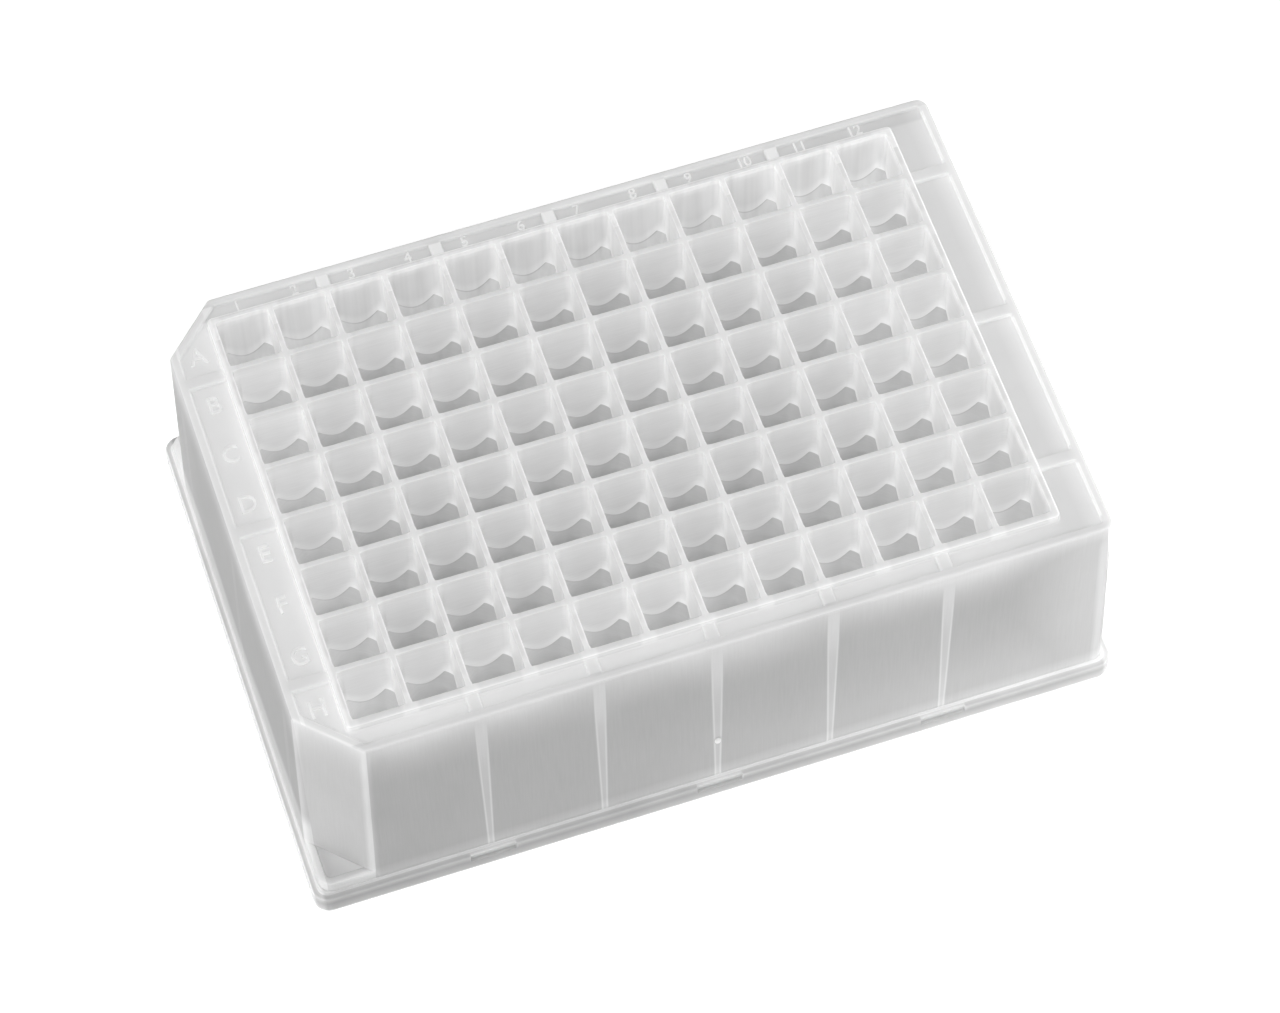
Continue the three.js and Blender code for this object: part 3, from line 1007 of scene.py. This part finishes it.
# ---- Foot flange --------------------------------------------------------------------------
# A square-cornered flange gives the plate its standard footprint. It is moulded with the skirt,
# hollow below, and has three shallow index notches in its front edge.
FOOT_X, FOOT_Y = 63.88, 42.74
FLANGE_Z = 3.9
FLANGE_WALL = 1.3
FLANGE_RADIUS = 2.5
NOTCH_SPACING = 36.0
NOTCHES = [-NOTCH_SPACING, 0.0, NOTCH_SPACING]
NOTCH_HALF, NOTCH_DEPTH, NOTCH_Z = 3.5, 0.35, 2.6
NOTCH_SLOPE = 0.15  # how far each end of a notch takes to run out
notch_ends = []
for middle in NOTCHES:
    notch_ends += [middle - NOTCH_HALF - NOTCH_SLOPE, middle - NOTCH_HALF]
    notch_ends += [middle + NOTCH_HALF, middle + NOTCH_HALF + NOTCH_SLOPE]
flange = Skin()


def flange_ring(inset, z, white):
    """A loop of the flange at one height, with the notches cut in where it is above their foot."""
    half_x, half_y = FOOT_X - inset, FOOT_Y - inset
    radius = max(FLANGE_RADIUS - inset, 0.4)
    corners = [(half_x, -half_y), (half_x, half_y), (-half_x, half_y), (-half_x, -half_y)]
    points = [(x, y, radius) for x, y in corners] + [(x, -half_y, None) for x in notch_ends]
    run = rounded(points, steps=6)
    places = []
    for x, y, _ in run:
        notched = y < 0 and z > NOTCH_Z and any(abs(x - n) <= NOTCH_HALF + 0.01 for n in NOTCHES)
        places.append((x, y + (max(0.0, NOTCH_DEPTH - inset) if notched else 0.0), z))
    return flange.loop(places, white)


FLANGE_EDGE = 0.3  # rounding of the flange's top edge, and of its fillet into the skirt
# Each ring's whiteness paints light and shade: a bright line along the rounded bottom edge, a dark outer
# face, and a lighter ledge and fillet above it.
flange_rings = [flange_ring(0.4 + dx, 0.4 + dz, 1.0) for dx, dz in arc((0, 0), 0.4, 270, 180, 4)]
for z, white in ((0.7, 0.6), (NOTCH_Z - 0.1, 0.46), (NOTCH_Z + 0.1, 0.46)):
    flange_rings.append(flange_ring(0.0, z, white))
for dx, dz in arc((FLANGE_EDGE, -FLANGE_EDGE), FLANGE_EDGE, 180, 90, 4):
    flange_rings.append(flange_ring(dx, FLANGE_Z + dz, 0.56))
flange_rings.append(flange_ring(0.8, FLANGE_Z, 0.7))
skirt_inset = FOOT_X - SKIRT_X + SKIRT_LEAN * (FLANGE_Z + 0.2)
for dx, dz in arc((-FLANGE_EDGE, FLANGE_EDGE), FLANGE_EDGE, 270, 360, 4):
    flange_rings.append(flange_ring(skirt_inset + dx, FLANGE_Z + dz, 0.88))
for inset, z, white in (
    (1.9, FLANGE_Z + 0.3, 0.8),
    (1.9, FLANGE_ROOF - 0.02, 0.9),
    (FLANGE_WALL + 0.2, FLANGE_ROOF - 0.02, 0.9),
    (FLANGE_WALL, FLANGE_ROOF - 0.3, 0.9),
    (FLANGE_WALL, 0.2, 0.9),
    (FLANGE_WALL - 0.2, 0.0, 1.0),
):
    flange_rings.append(flange_ring(inset, z, white))
for low, high in zip(flange_rings, flange_rings[1:] + flange_rings[:1]):
    flange.band(low, high)

SHOT_PATCH = 8.33  # mm across the patches where the shot met and cooled


def flange_shade(tree, place):
    """Patchy tone, and painted light along the flange: slowly lighter towards the right, with pale
    ends, and pale notch floors that paint out the notches' shade.
    """
    patches = add(
        tree,
        "ShaderNodeTexNoise",
        None,
        {"Vector": place, "Scale": 1 / SHOT_PATCH, "Detail": 2.0},
    ).outputs["Fac"]
    patchy = toned(tree, 0.0, [(patches, 0.3, 0.7, 0.94, 1.03)])
    axis = add(tree, "ShaderNodeSeparateXYZ", None, {"Vector": place}).outputs
    x, y, z = axis["X"], axis["Y"], axis["Z"]
    far_x = add(tree, "ShaderNodeMath", {"operation": "ABSOLUTE"}, {0: x}).outputs[0]
    off_notch = add(
        tree,
        "ShaderNodeMath",
        {"operation": "PINGPONG"},
        {0: x, 1: NOTCH_SPACING / 2},
    ).outputs[0]
    to_right = [(x, -20.0, 50.0, 0.97, 1.2)]
    end_ledge = [(far_x, FOOT_X - 1.7, FOOT_X - 1.2, 0.0, 0.35)]
    end_face = [(far_x, FOOT_X - 0.3, FOOT_X - 0.1, 0.0, 0.6)]
    notch_floor = [
        (off_notch, NOTCH_HALF, NOTCH_HALF + 0.2, 0.25, 0.0),
        (z, NOTCH_Z - 0.1, NOTCH_Z, 0.0, 1.0),
        (y, 0.5 - FOOT_Y, 0.9 - FOOT_Y, 1.0, 0.0),
    ]
    whole = toned(tree, 0.0, to_right, end_ledge, end_face, notch_floor)
    return add(tree, "ShaderNodeMath", {"operation": "MULTIPLY"}, {0: patchy, 1: whole}).outputs[0]


flange_plastic = natural_polypropylene("natural polypropylene, foot flange", flange_shade, passes=0.8)
foot_flange = flange.piece("foot_flange", flange_plastic)
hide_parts("well_plate")
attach(foot_flange, "root")


# ---- Column digits and row letters --------------------------------------------------------
# Raised characters on the sunk deck, of the same plastic and cut into the mould as plain
# strokes: 1 to 12 behind row A, and A to H beside column 1.
CAPITAL_SHARE = 0.73  # how much of a font's size its capitals fill
STROKE_WHITE = 1.24  # the plastic is thicker under a stroke, so it looks whiter


def characters(name, marks, height, x_squeeze, relief, material):
    """One mesh of raised characters, each given as (text, x, y)."""
    marked = Skin()
    for text, x, y in marks:
        curve = bpy.data.curves.new(name, "FONT")
        curve.body = text
        curve.size = height / CAPITAL_SHARE
        curve.align_x = "CENTER"
        curve.align_y = "CENTER"
        curve.extrude = relief
        curve.bevel_depth = 0.08
        curve.bevel_resolution = 1
        curve.offset = -0.04
        curve.resolution_u = 3
        drawn = bpy.data.objects.new(name, curve)
        bpy.context.scene.collection.objects.link(drawn)
        bpy.context.view_layer.update()
        shape = drawn.evaluated_get(bpy.context.evaluated_depsgraph_get())
        mesh = bpy.data.meshes.new_from_object(shape)
        first = len(marked.points)
        places = [(x + v.co.x * x_squeeze, y + v.co.y, DECK_Z + v.co.z) for v in mesh.vertices]
        marked.loop(places, STROKE_WHITE)
        marked.faces += [tuple(first + k for k in face.vertices) for face in mesh.polygons]
        bpy.data.objects.remove(drawn)
    return marked.piece(name, material)


raised_stroke = natural_polypropylene(
    "natural polypropylene, raised characters",
    flange_shade,
    passes=0.9,
)
DIGIT_Y, LETTER_X = 38.3, -57.6
digits = [(str(i + 1), x, DIGIT_Y) for i, x in enumerate(WELL_X)]
letters = [(letter, LETTER_X, y) for letter, y in zip("ABCDEFGH", WELL_Y)]
for piece in (
    characters("column_digits", digits, 2.0, x_squeeze=0.9, relief=0.18, material=raised_stroke),
    characters("row_letters", letters, 3.1, x_squeeze=0.92, relief=0.16, material=raised_stroke),
):
    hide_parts("well_plate")
    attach(piece, "root")


# ---- Floor, light and camera --------------------------------------------------------------
# A matt white paper table top in a white studio tent. A broad softbox stands high at the front
# left, a small one at the right rear, and a low one at the front right fills in.
bpy.ops.mesh.primitive_plane_add(size=6.0)
table_top = bpy.context.object
table_top.name = "table_top"
paper = bpy.data.materials.new("matt white paper")
paper.use_nodes = True
tree = paper.node_tree
tree.nodes.clear()
sheet = add(tree, "ShaderNodeBsdfDiffuse", None, {"Color": rgb("#F2F2F2")})
path = add(tree, "ShaderNodeLightPath").outputs
seen = path["Is Camera Ray"]
for ray in ("Is Glossy Ray", "Is Transmission Ray"):
    seen = add(tree, "ShaderNodeMath", {"operation": "MAXIMUM"}, {0: seen, 1: path[ray]}).outputs[0]
metres = add(tree, "ShaderNodeTexCoord").outputs["Object"]
spot = add(tree, "ShaderNodeSeparateXYZ", None, {"Vector": metres}).outputs
# Seen directly, the paper is lifted to white beside the plate, and stays as it is under it.
beside = 0.0
for side, half in (("X", FOOT_X - 1.0), ("Y", FOOT_Y - 1.0)):
    off = add(tree, "ShaderNodeMath", {"operation": "ABSOLUTE"}, {0: spot[side]}).outputs[0]
    past = add(tree, "ShaderNodeMath", {"operation": "GREATER_THAN"}, {0: off, 1: half * MM})
    beside = add(
        tree,
        "ShaderNodeMath",
        {"operation": "MAXIMUM"},
        {0: beside, 1: past.outputs[0]},
    ).outputs[0]
# The lift grows towards the right, where it paints out part of the plate's shadow.
strength = toned(tree, 0.0, [(spot["X"], -0.06, 0.1, 0.34, 0.4)])
for mask in (seen, beside):
    strength = add(tree, "ShaderNodeMath", {"operation": "MULTIPLY"}, {0: strength, 1: mask}).outputs[0]
lift = add(tree, "ShaderNodeEmission", None, {"Color": (1, 1, 1, 1), "Strength": strength})
both = add(tree, "ShaderNodeAddShader", None, {0: sheet.outputs[0], 1: lift.outputs[0]})
add(tree, "ShaderNodeOutputMaterial", None, {"Surface": both.outputs[0]})
table_top.data.materials.append(paper)

world = bpy.data.worlds.new("studio tent")
bpy.context.scene.world = world
world.use_nodes = True
world.node_tree.nodes["Background"].inputs["Color"].default_value = (1, 1, 1, 1)
world.node_tree.nodes["Background"].inputs["Strength"].default_value = 0.3

# Each softbox has a direction from the plate, a spread in degrees and a level.
for name, towards, spread, level in (
    ("front left softbox", (-0.6, -0.44, 0.67), 60, 0.66),
    ("right rear softbox", (0.76, 0.48, 0.42), 12, 0.28),
):
    softbox = bpy.data.lights.new(name, "SUN")
    softbox.energy = math.pi * level
    softbox.angle = math.radians(spread)
    stand = bpy.data.objects.new(name, softbox)
    bpy.context.scene.collection.objects.link(stand)
    stand.rotation_euler = Vector(towards).to_track_quat("Z", "Y").to_euler()

fill = bpy.data.lights.new("right front softbox", "AREA")
fill.size = 0.25
fill.energy = 0.5
stand = bpy.data.objects.new("right front softbox", fill)
bpy.context.scene.collection.objects.link(stand)
stand.location = (0.28, -0.22, 0.07)
stand.rotation_euler = Vector(stand.location).to_track_quat("Z", "Y").to_euler()

# The camera stands about 0.75 m away, and looks down on the plate from its front left.
camera_data = bpy.data.cameras.new("camera")
camera_data.lens = 135.54
camera_data.sensor_width = 36.0
camera_data.clip_end = 20.0
camera = bpy.data.objects.new("camera", camera_data)
bpy.context.scene.collection.objects.link(camera)
right = Vector((0.94814, -0.31771, -0.00946)).normalized()
ahead = Vector((0.15196, 0.47924, -0.86443)).normalized()
up = right.cross(ahead).normalized()
right = ahead.cross(up).normalized()
frame_of_view = Matrix((right, up, -ahead)).transposed().to_4x4()
camera.matrix_world = Matrix.Translation(Vector((-110.86, -354.65, 656.06)) * MM) @ frame_of_view
bpy.context.scene.camera = camera
bpy.context.scene.view_settings.view_transform = "Standard"
